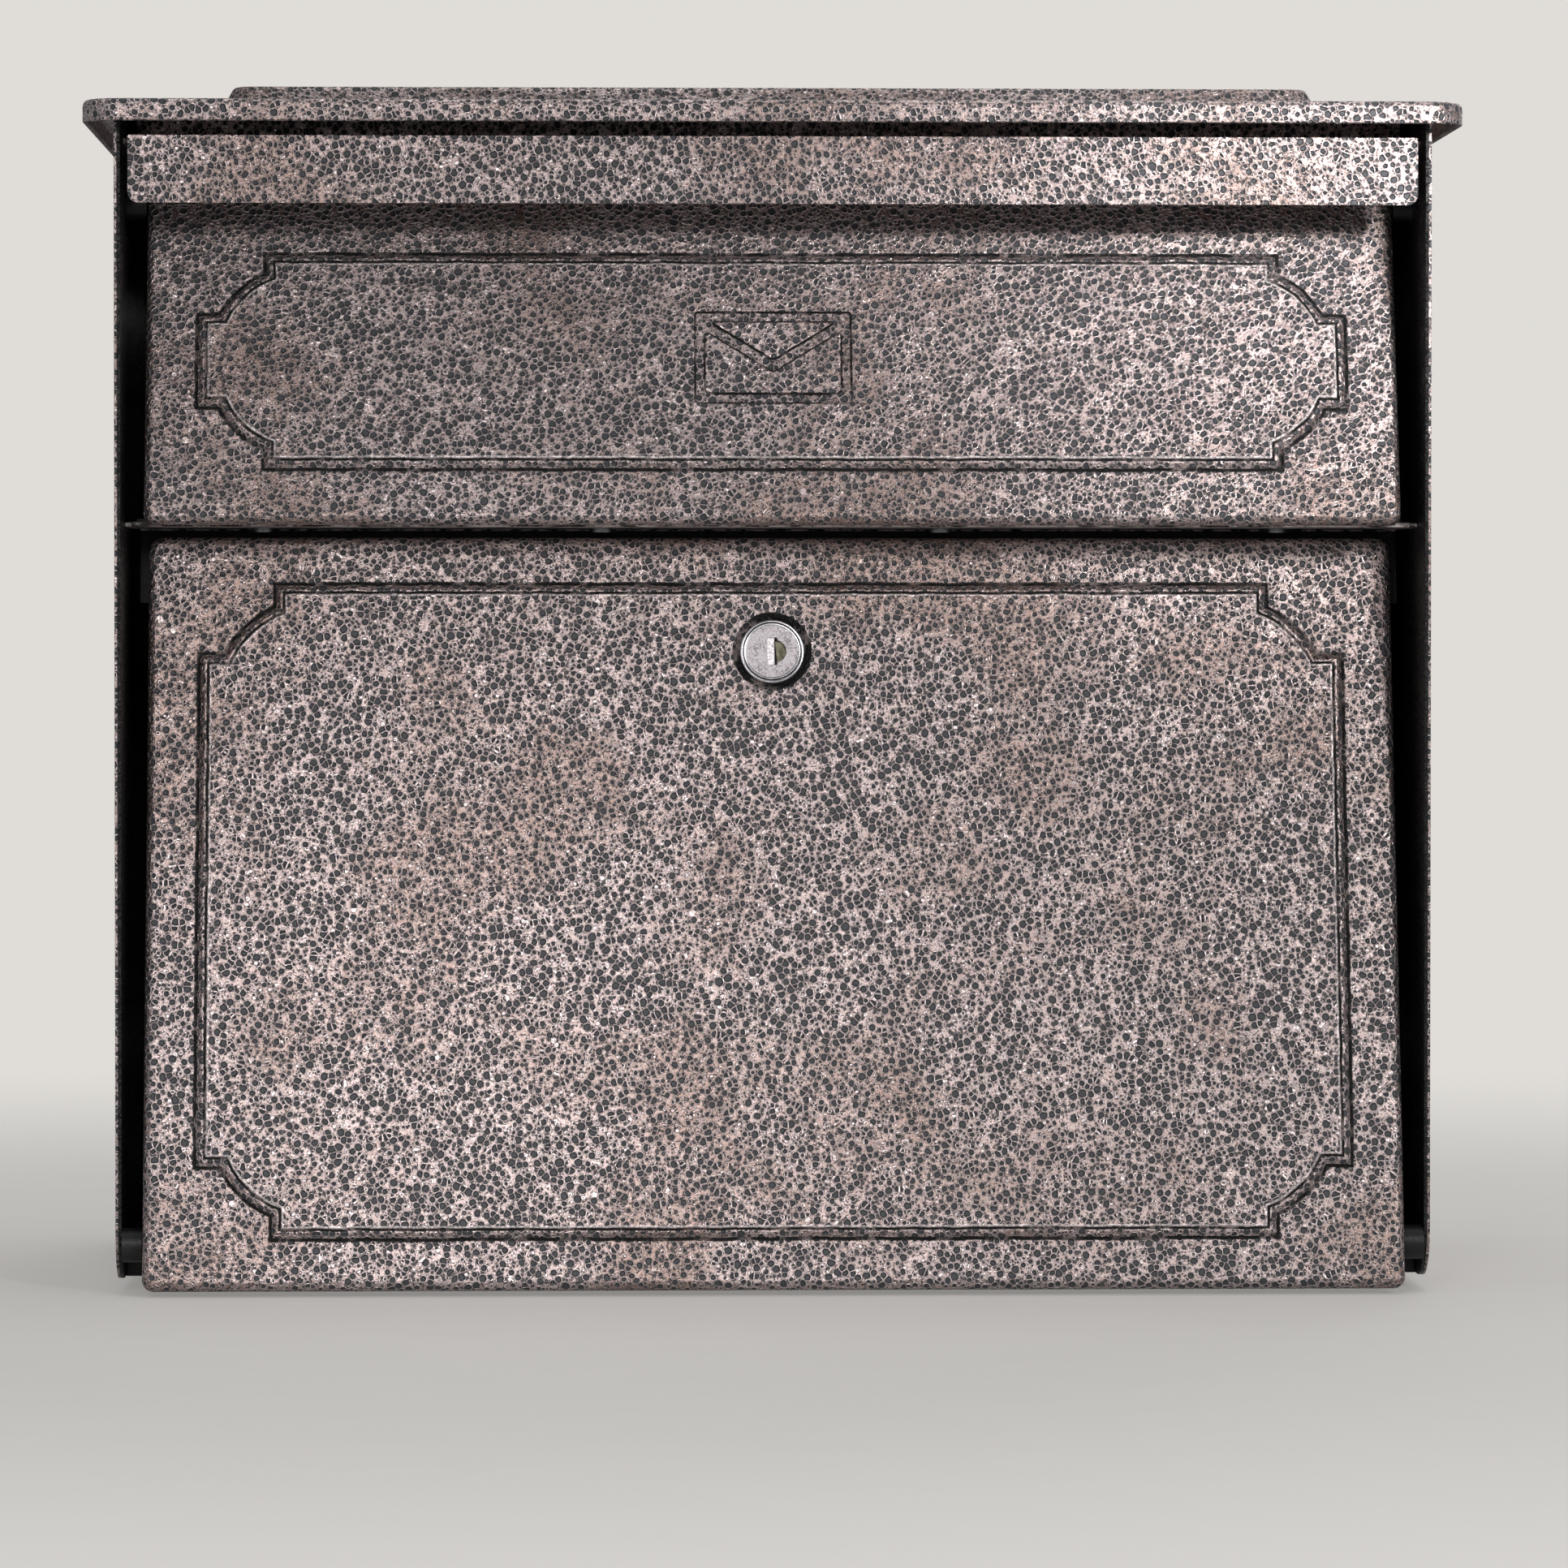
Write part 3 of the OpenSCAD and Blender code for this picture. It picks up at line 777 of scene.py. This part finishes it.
def spot_layer(graph, place, scale, scatter, least, spread, wall=0.0):
    """How far a place lies inside a round dimple, in cells. Neighbours cut each other off."""
    distance, chance = graph.cells(scale, place, scatter)
    radius = graph.math("MULTIPLY_ADD", chance, spread, least)
    inside = graph.math("SUBTRACT", radius, distance)
    if not wall:
        return inside
    gap = graph.math("SUBTRACT", graph.cell_wall(scale, place, scatter), wall)
    return graph.math("MINIMUM", inside, gap)


def ring_of(graph, inside, width):
    """The thin raised rim just outside a dimple."""
    outer = graph.range(inside, -width, -width * 0.35)
    inner = graph.range(inside, 0.02, -0.02)
    return graph.math("MULTIPLY", outer, inner)


def hammered_coat():
    """Hammered powder coat: grey dimples in a wrinkled copper-pink metallic skin."""
    graph = Graph("hammered_coat")
    # The pattern is bent a little and turned, so that its grid never lines up with a panel.
    drift = graph.noise(150, 1.0, colour=True)
    drift = graph.vector("SUBTRACT", drift, (0.5, 0.5, 0.5))
    place = graph.vector("ADD", graph.place, graph.vector("SCALE", drift, 0.0012))
    place = graph.turned(place, (0.55, 0.62, 0.56), 0.7)
    other = graph.vector("ADD", place, (0.37, 0.11, 0.23))
    patch = graph.noise(16, 3.0, 0.6)
    warm = graph.range(patch, 0.44, 0.64)
    sparse = graph.math("MULTIPLY", warm, 0.07)

    large = graph.math("SUBTRACT", spot_layer(graph, place, 430, 0.80, 0.34, 0.22, 0.035), sparse)
    small = graph.math("SUBTRACT", spot_layer(graph, other, 700, 0.9, 0.24, 0.30), sparse)
    big_spots = graph.range(large, 0.0, 0.045)
    big_rims = ring_of(graph, large, 0.13)
    clear = graph.math("SUBTRACT", 1.0, graph.math("MAXIMUM", big_spots, big_rims), clamp=True)
    small_spots = graph.math("MULTIPLY", graph.range(small, 0.0, 0.06), clear)
    small_rims = graph.math("MULTIPLY", ring_of(graph, small, 0.17), clear)
    spots = graph.math("MULTIPLY_ADD", small_spots, 0.9, big_spots)
    rims = graph.math("MAXIMUM", big_rims, small_rims)
    bowls = graph.range(large, -0.04, 0.16)
    small_bowls = graph.math("MULTIPLY", graph.range(small, -0.04, 0.18), clear)
    bowls = graph.math("MULTIPLY_ADD", small_bowls, 0.6, bowls)

    # Colours: skin between the dimples, its dark pits and bright ridges, rims, then the dimples.
    wrinkle = graph.noise(1300, 2.0, 0.65, place)
    ridge = graph.math("ABSOLUTE", graph.math("SUBTRACT", wrinkle, 0.5))
    ridge = graph.range(ridge, 0.09, 0.0)
    skin = graph.mix(warm, rgb(0.60, 0.465, 0.44), rgb(0.44, 0.30, 0.25))
    skin = graph.mix(graph.range(wrinkle, 0.60, 0.40), skin, rgb(0.12, 0.09, 0.082))
    bright = graph.math("MULTIPLY_ADD", warm, -0.35, 0.75)
    skin = graph.mix(graph.math("MULTIPLY", ridge, bright), skin, rgb(1.0, 0.84, 0.81))
    skin = graph.mix(graph.math("MULTIPLY", rims, bright), skin, rgb(1.0, 0.88, 0.865))
    colour = graph.mix(spots, skin, rgb(0.072, 0.075, 0.081))

    # Folds: painted shade as near-black lines along creases, bends and recesses, and painted highlight
    # as bright lines beside some creases, both with noisy edges and gaps.
    shade_and_highlight = graph.attribute("shade_and_highlight")
    gaps = graph.range(graph.noise(130, 1.0), 0.32, 0.50, 0.55, 1.0)
    edge_noise = graph.math("MULTIPLY_ADD", graph.noise(900, 1.0), 0.5, -0.25)
    noisy_mark = graph.math("ADD", shade_and_highlight, edge_noise)
    lines = graph.math("MULTIPLY", graph.range(noisy_mark, 0.28, 0.6), gaps)
    painted_highlight = graph.math("MULTIPLY", graph.range(noisy_mark, -0.25, -0.7), gaps)
    colour = graph.mix(lines, colour, rgb(0.005, 0.0045, 0.004))
    colour = graph.mix(painted_highlight, colour, rgb(1.0, 0.90, 0.88))

    metal = graph.blend(spots, 0.90, 0.25)
    metal = graph.blend(lines, metal, 0.0)
    rough = graph.blend(spots, 0.33, 0.40)
    rough = graph.math("MULTIPLY_ADD", patch, 0.08, rough)
    rough = graph.math("MULTIPLY_ADD", rims, -0.10, rough)
    rough = graph.blend(lines, rough, 0.6)

    # Relief, in metres: bowls down, rims and wrinkles up, and a slow unevenness under all.
    height = graph.math("MULTIPLY", bowls, -0.00034)
    height = graph.math("MULTIPLY_ADD", rims, 0.00012, height)
    height = graph.math("MULTIPLY_ADD", wrinkle, 0.00014, height)
    height = graph.math("MULTIPLY_ADD", graph.noise(110, 1.0), 0.0006, height)
    graph.bump(height)
    return graph.set(Base_Color=colour, Metallic=metal, Roughness=rough)


def inner_coat():
    """Near-black painted shade for the inside sheets and parts in shade, with faint orange peel and
    dust.
    """
    graph = Graph("inner_coat")
    peel = graph.noise(900, 2.0)
    dust = graph.range(graph.noise(60, 4.0, 0.7), 0.5, 0.8)
    colour = graph.mix(dust, rgb(0.012, 0.0115, 0.011), rgb(0.03, 0.028, 0.026))
    rough = graph.blend(dust, 0.42, 0.62)
    graph.bump(graph.math("MULTIPLY", peel, 0.00012))
    return graph.set(Base_Color=colour, Roughness=rough)


def rail_shade_coat(edge_z):
    """The cross rail's coat: painted near black as shade, with a painted highlight along its front
    corner here and there.
    """
    graph = Graph("rail_shade_coat")
    split = graph.nodes.new("ShaderNodeSeparateXYZ")
    graph.links.new(graph.place, split.inputs[0])
    off = graph.math("ABSOLUTE", graph.math("SUBTRACT", split.outputs["Z"], edge_z))
    near = graph.range(off, 0.0010, 0.0006)
    along = graph.vector("MULTIPLY", graph.place, (0.35, 1.0, 1.0))
    broken = graph.range(graph.noise(520, 3.0, 0.7, along), 0.40, 0.60)
    wear_and_highlight = graph.math("MULTIPLY", near, broken)
    peel = graph.noise(900, 2.0)
    dark = graph.mix(peel, rgb(0.006, 0.0055, 0.005), rgb(0.016, 0.014, 0.013))
    # Painted highlight: a bright, broken line along the front corner over the painted shade.
    colour = graph.mix(wear_and_highlight, dark, rgb(0.85, 0.76, 0.73))
    graph.bump(graph.math("MULTIPLY", peel, 0.0002))
    return graph.set(Base_Color=colour, Metallic=graph.math("MULTIPLY", wear_and_highlight, 0.8),
                     Roughness=graph.blend(wear_and_highlight, 0.5, 0.38))


def zinc_steel():
    """Zinc plated steel: cloudy grains, fine drawn scratches and a little white bloom."""
    graph = Graph("zinc_steel")
    cloud = graph.noise(160, 3.0, 0.6)
    long = graph.vector("MULTIPLY", graph.place, (1.0, 1.0, 14.0))
    scratch = graph.noise(900, 2.0, 0.6, long)
    colour = graph.mix(cloud, rgb(0.24, 0.245, 0.255), rgb(0.40, 0.40, 0.39))
    rough = graph.range(scratch, 0.3, 0.7, 0.24, 0.44)
    graph.bump(graph.math("MULTIPLY", scratch, 0.00003))
    return graph.set(Base_Color=colour, Metallic=1.0, Roughness=rough)


def lock_chrome():
    """Polished chrome with hairline turning marks and light smears."""
    graph = Graph("lock_chrome")
    smear = graph.noise(300, 3.0, 0.6)
    fine = graph.noise(2600, 2.0)
    colour = graph.mix(smear, rgb(0.78, 0.77, 0.79), rgb(0.92, 0.90, 0.92))
    rough = graph.range(smear, 0.3, 0.75, 0.24, 0.36)
    graph.bump(graph.math("MULTIPLY", fine, 0.000004))
    return graph.set(Base_Color=colour, Metallic=1.0, Roughness=rough)


def lock_face(name, clean):
    """Satin chrome with fine dark speckle. clean is the colour where no speckle is left."""
    graph = Graph(name)
    speck = graph.noise(1900, 2.0, 0.75)
    wear_and_highlight = graph.range(graph.noise(260, 2.0), 0.42, 0.62)
    speckle = graph.math("MULTIPLY", graph.range(speck, 0.46, 0.60),
                         graph.math("MULTIPLY_ADD", wear_and_highlight, -0.6, 1.0))
    colour = graph.mix(speckle, clean, graph.vector("SCALE", clean[:3], 0.40))
    rough = graph.blend(speckle, 0.42, 0.5)
    graph.bump(graph.math("MULTIPLY", speck, 0.00002))
    return graph.set(Base_Color=colour, Metallic=1.0, Roughness=rough)


def brass():
    """Dull, darkened brass with smudges."""
    graph = Graph("brass")
    smudge = graph.noise(700, 3.0, 0.6)
    share = graph.range(smudge, 0.35, 0.65)
    colour = graph.mix(share, rgb(0.11, 0.105, 0.07), rgb(0.30, 0.28, 0.19))
    rough = graph.range(smudge, 0.3, 0.7, 0.3, 0.5)
    graph.bump(graph.math("MULTIPLY", smudge, 0.00006))
    return graph.set(Base_Color=colour, Metallic=0.75, Roughness=rough)


def rubber():
    """Matte black rubber with mould grain and a dusty bloom."""
    graph = Graph("rubber")
    grain = graph.noise(1600, 3.0, 0.6)
    bloom = graph.range(graph.noise(180, 2.0), 0.5, 0.75)
    colour = graph.mix(bloom, rgb(0.010, 0.010, 0.010), rgb(0.028, 0.027, 0.026))
    graph.bump(graph.math("MULTIPLY", grain, 0.00008))
    return graph.set(Base_Color=colour, Roughness=graph.blend(bloom, 0.62, 0.85))


def side_coat(name, hammered, inner_x):
    """The side panels' coat: hammered outside; the inside faces and the inner part of the front edges
    are painted near black as shade, split inside the sheet.
    """
    source = hammered.copy()
    source.name = name
    nodes = source.node_tree.nodes
    links = source.node_tree.links
    shader = nodes["Principled BSDF"]
    place = next(n for n in nodes if n.bl_idname == "ShaderNodeTexCoord").outputs["Object"]
    split = nodes.new("ShaderNodeSeparateXYZ")
    links.new(place, split.inputs[0])
    away = nodes.new("ShaderNodeMath")
    away.operation = "ABSOLUTE"
    links.new(split.outputs["X"], away.inputs[0])
    inside = nodes.new("ShaderNodeMapRange")
    links.new(away.outputs[0], inside.inputs[0])
    inside.inputs[1].default_value = inner_x + 0.0012
    inside.inputs[2].default_value = inner_x + 0.0009
    # Painted shade: near black and not metallic.
    for socket_name, dark in (("Base Color", rgb(0.008, 0.0078, 0.0075)), ("Metallic", 0.0)):
        mixer = nodes.new("ShaderNodeMix")
        is_colour = socket_name == "Base Color"
        mixer.data_type = "RGBA" if is_colour else "FLOAT"
        first, second, result = (6, 7, 2) if is_colour else (2, 3, 0)
        links.new(inside.outputs[0], mixer.inputs[0])
        links.new(shader.inputs[socket_name].links[0].from_socket, mixer.inputs[first])
        mixer.inputs[second].default_value = dark
        links.new(mixer.outputs[result], shader.inputs[socket_name])
    return source


# ---------------------------------------------------------------- dressing the CAD nodes

def dress(node, material, edge=0.35):
    """Gives a CAD node its material and softens its edges by a few tenths of a millimetre.

    An edge of 0 leaves them sharp.
    """
    piece = frame["nodes"][node]
    if not piece.material_slots:
        piece.data.materials.append(material)
    for slot in piece.material_slots:
        slot.material = material
    if not edge:
        return
    weld = piece.modifiers.new("weld", "WELD")
    weld.merge_threshold = 0.000002
    bevel = piece.modifiers.new("soft_edges", "BEVEL")
    bevel.width = edge * MM
    bevel.segments = 2
    bevel.limit_method = "ANGLE"
    bevel.angle_limit = math.radians(40)
    even = piece.modifiers.new("even_shading", "WEIGHTED_NORMAL")
    even.keep_sharp = False
    even.weight = SHADING_WEIGHT


coat = hammered_coat()
painted_shade_coat = inner_coat()
zinc = zinc_steel()
chrome = lock_chrome()
satin = lock_face("lock_face", rgb(0.62, 0.575, 0.59))
rubbed_satin = lock_face("lock_rib", rgb(0.98, 0.93, 0.95))
dull_brass = brass()
black_rubber = rubber()
dark_rail = rail_shade_coat(RAIL_EDGE_Z)
side_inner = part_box("floor_panel")[1].x
sides = side_coat("side_coat", coat, side_inner)

access_door(coat)
mail_flap(coat)
roof_cap(coat)
lock_body(chrome)
lock_plug(chrome, satin, painted_shade_coat, rubbed_satin)

for node in ("left_side_panel", "right_side_panel"):
    dress(node, sides, 0.4)
dress("hood_rail", coat, 0.4)
# The flat back stays sharp: its wall holes leave long slivers that softened edges would shade as lines.
dress("back_panel", coat, 0)
dress("mid_rail", dark_rail, 0.4)
# These sit in shade inside the box or in its corners, so they take the near-black painted shade coat.
for node in ("floor_panel", "chute_plate", "flap_hinge_pins", "door_hinge_pins"):
    dress(node, painted_shade_coat, 0.3)
for node in ("chute_rivets", "lock_doubler", "lock_nut", "lock_cam", "cam_washer", "cam_screw"):
    dress(node, zinc, 0.2)
for node in ("flap_bumpers", "door_bumpers"):
    dress(node, black_rubber, 0.3)
dress("keyway_shutter", dull_brass, 0.12)


# ---------------------------------------------------------------- stage, light and camera

def stage_floor():
    """A pale round floor under the box that fades into the background."""
    radius = 1.1
    mesh = bpy.data.meshes.new("stage_floor")
    bm = bmesh.new()
    centre = (cad_box[0][1] + cad_box[1][1]) / 2
    level = cad_box[0][2] - 0.0015
    bmesh.ops.create_circle(bm, cap_ends=True, radius=radius, segments=96)
    bmesh.ops.translate(bm, verts=bm.verts, vec=(0, centre, level))
    bm.to_mesh(mesh)
    bm.free()
    floor = bpy.data.objects.new("stage_floor", mesh)
    bpy.context.scene.collection.objects.link(floor)
    graph = Graph("stage_pale")
    grain = graph.noise(40, 3.0)
    pale = graph.mix(grain, rgb(0.83, 0.81, 0.78), rgb(0.87, 0.85, 0.82))
    graph.set(Base_Color=pale, Roughness=0.9)
    away = graph.nodes.new("ShaderNodeVectorMath")
    away.operation = "DISTANCE"
    graph.links.new(graph.place, away.inputs[0])
    away.inputs[1].default_value = (0, centre, level)
    graph.set(Alpha=graph.range(away.outputs["Value"], radius, 0.3, 0.0, 0.65))
    mesh.materials.append(graph.material)


def area_light(name, place, aim, size, watts, tint=(1, 1, 1), beam=180):
    """A square softbox that faces a point. The beam is its full spread in degrees."""
    data = bpy.data.lights.new(name, "AREA")
    data.shape = "SQUARE"
    data.size = size
    data.energy = watts
    data.color = tint
    data.spread = math.radians(beam)
    lamp = bpy.data.objects.new(name, data)
    lamp.location = place
    lamp.rotation_euler = (Vector(aim) - Vector(place)).to_track_quat("-Z", "Y").to_euler()
    bpy.context.scene.collection.objects.link(lamp)


def pale_world():
    """A pale backdrop for the camera and a dimmer, even light on the object."""
    world = bpy.data.worlds.new("pale_world")
    world.use_nodes = True
    nodes = world.node_tree.nodes
    links = world.node_tree.links
    seen = nodes["Background"]
    seen.inputs["Color"].default_value = rgb(0.745, 0.722, 0.69)
    light = nodes.new("ShaderNodeBackground")
    light.inputs["Color"].default_value = rgb(0.95, 0.96, 1.0)
    light.inputs["Strength"].default_value = 0.23
    path = nodes.new("ShaderNodeLightPath")
    mixer = nodes.new("ShaderNodeMixShader")
    links.new(path.outputs["Is Camera Ray"], mixer.inputs[0])
    links.new(light.outputs[0], mixer.inputs[1])
    links.new(seen.outputs[0], mixer.inputs[2])
    links.new(mixer.outputs[0], nodes["World Output"].inputs["Surface"])
    bpy.context.scene.world = world


def camera():
    """A long lens, level with the box's middle and a little to its left."""
    data = bpy.data.cameras.new("camera")
    data.sensor_width = 36
    data.lens = 155.6
    data.clip_end = 50
    lens = bpy.data.objects.new("camera", data)
    yaw = 0.03174
    pitch = -0.01756
    lens.location = (-0.0597, -2.165, 0.0043)
    lens.rotation_euler = (math.pi / 2 + pitch, 0, -yaw)
    bpy.context.scene.collection.objects.link(lens)
    bpy.context.scene.camera = lens


stage_floor()
pale_world()
camera()
# Key: 28 degrees to the right and 16 degrees up, for a short shadow under the hood.
area_light("key", (0.78, -1.62, 0.52), (0.02, -0.19, 0.05), 0.14, 5.0, (1.0, 0.985, 0.97))
# Two near lights with narrow beams: the right end of the hood and flap, and the foot of the door.
area_light("hood_glow", (0.40, -0.76, 0.30), (0.15, -0.19, 0.165), 0.08, 0.088, (1.0, 0.97, 0.985), 28)
area_light("door_glow", (-0.10, -1.05, 0.19), (-0.08, -0.2, -0.13), 0.10, 0.020, (1.0, 0.97, 0.98), 30)
area_light("front", (-0.45, -2.2, 0.58), (-0.05, -0.2, 0), 0.40, 5.2, (1.0, 0.97, 0.97))
area_light("top_fill", (0.1, -0.1, 1.9), (0, -0.1, 0), 1.0, 7)
area_light("back_fill", (0.6, 1.8, 0.7), (0, -0.05, 0), 1.2, 8)

bpy.context.scene.view_settings.view_transform = "Standard"
bpy.context.scene.view_settings.look = "None"
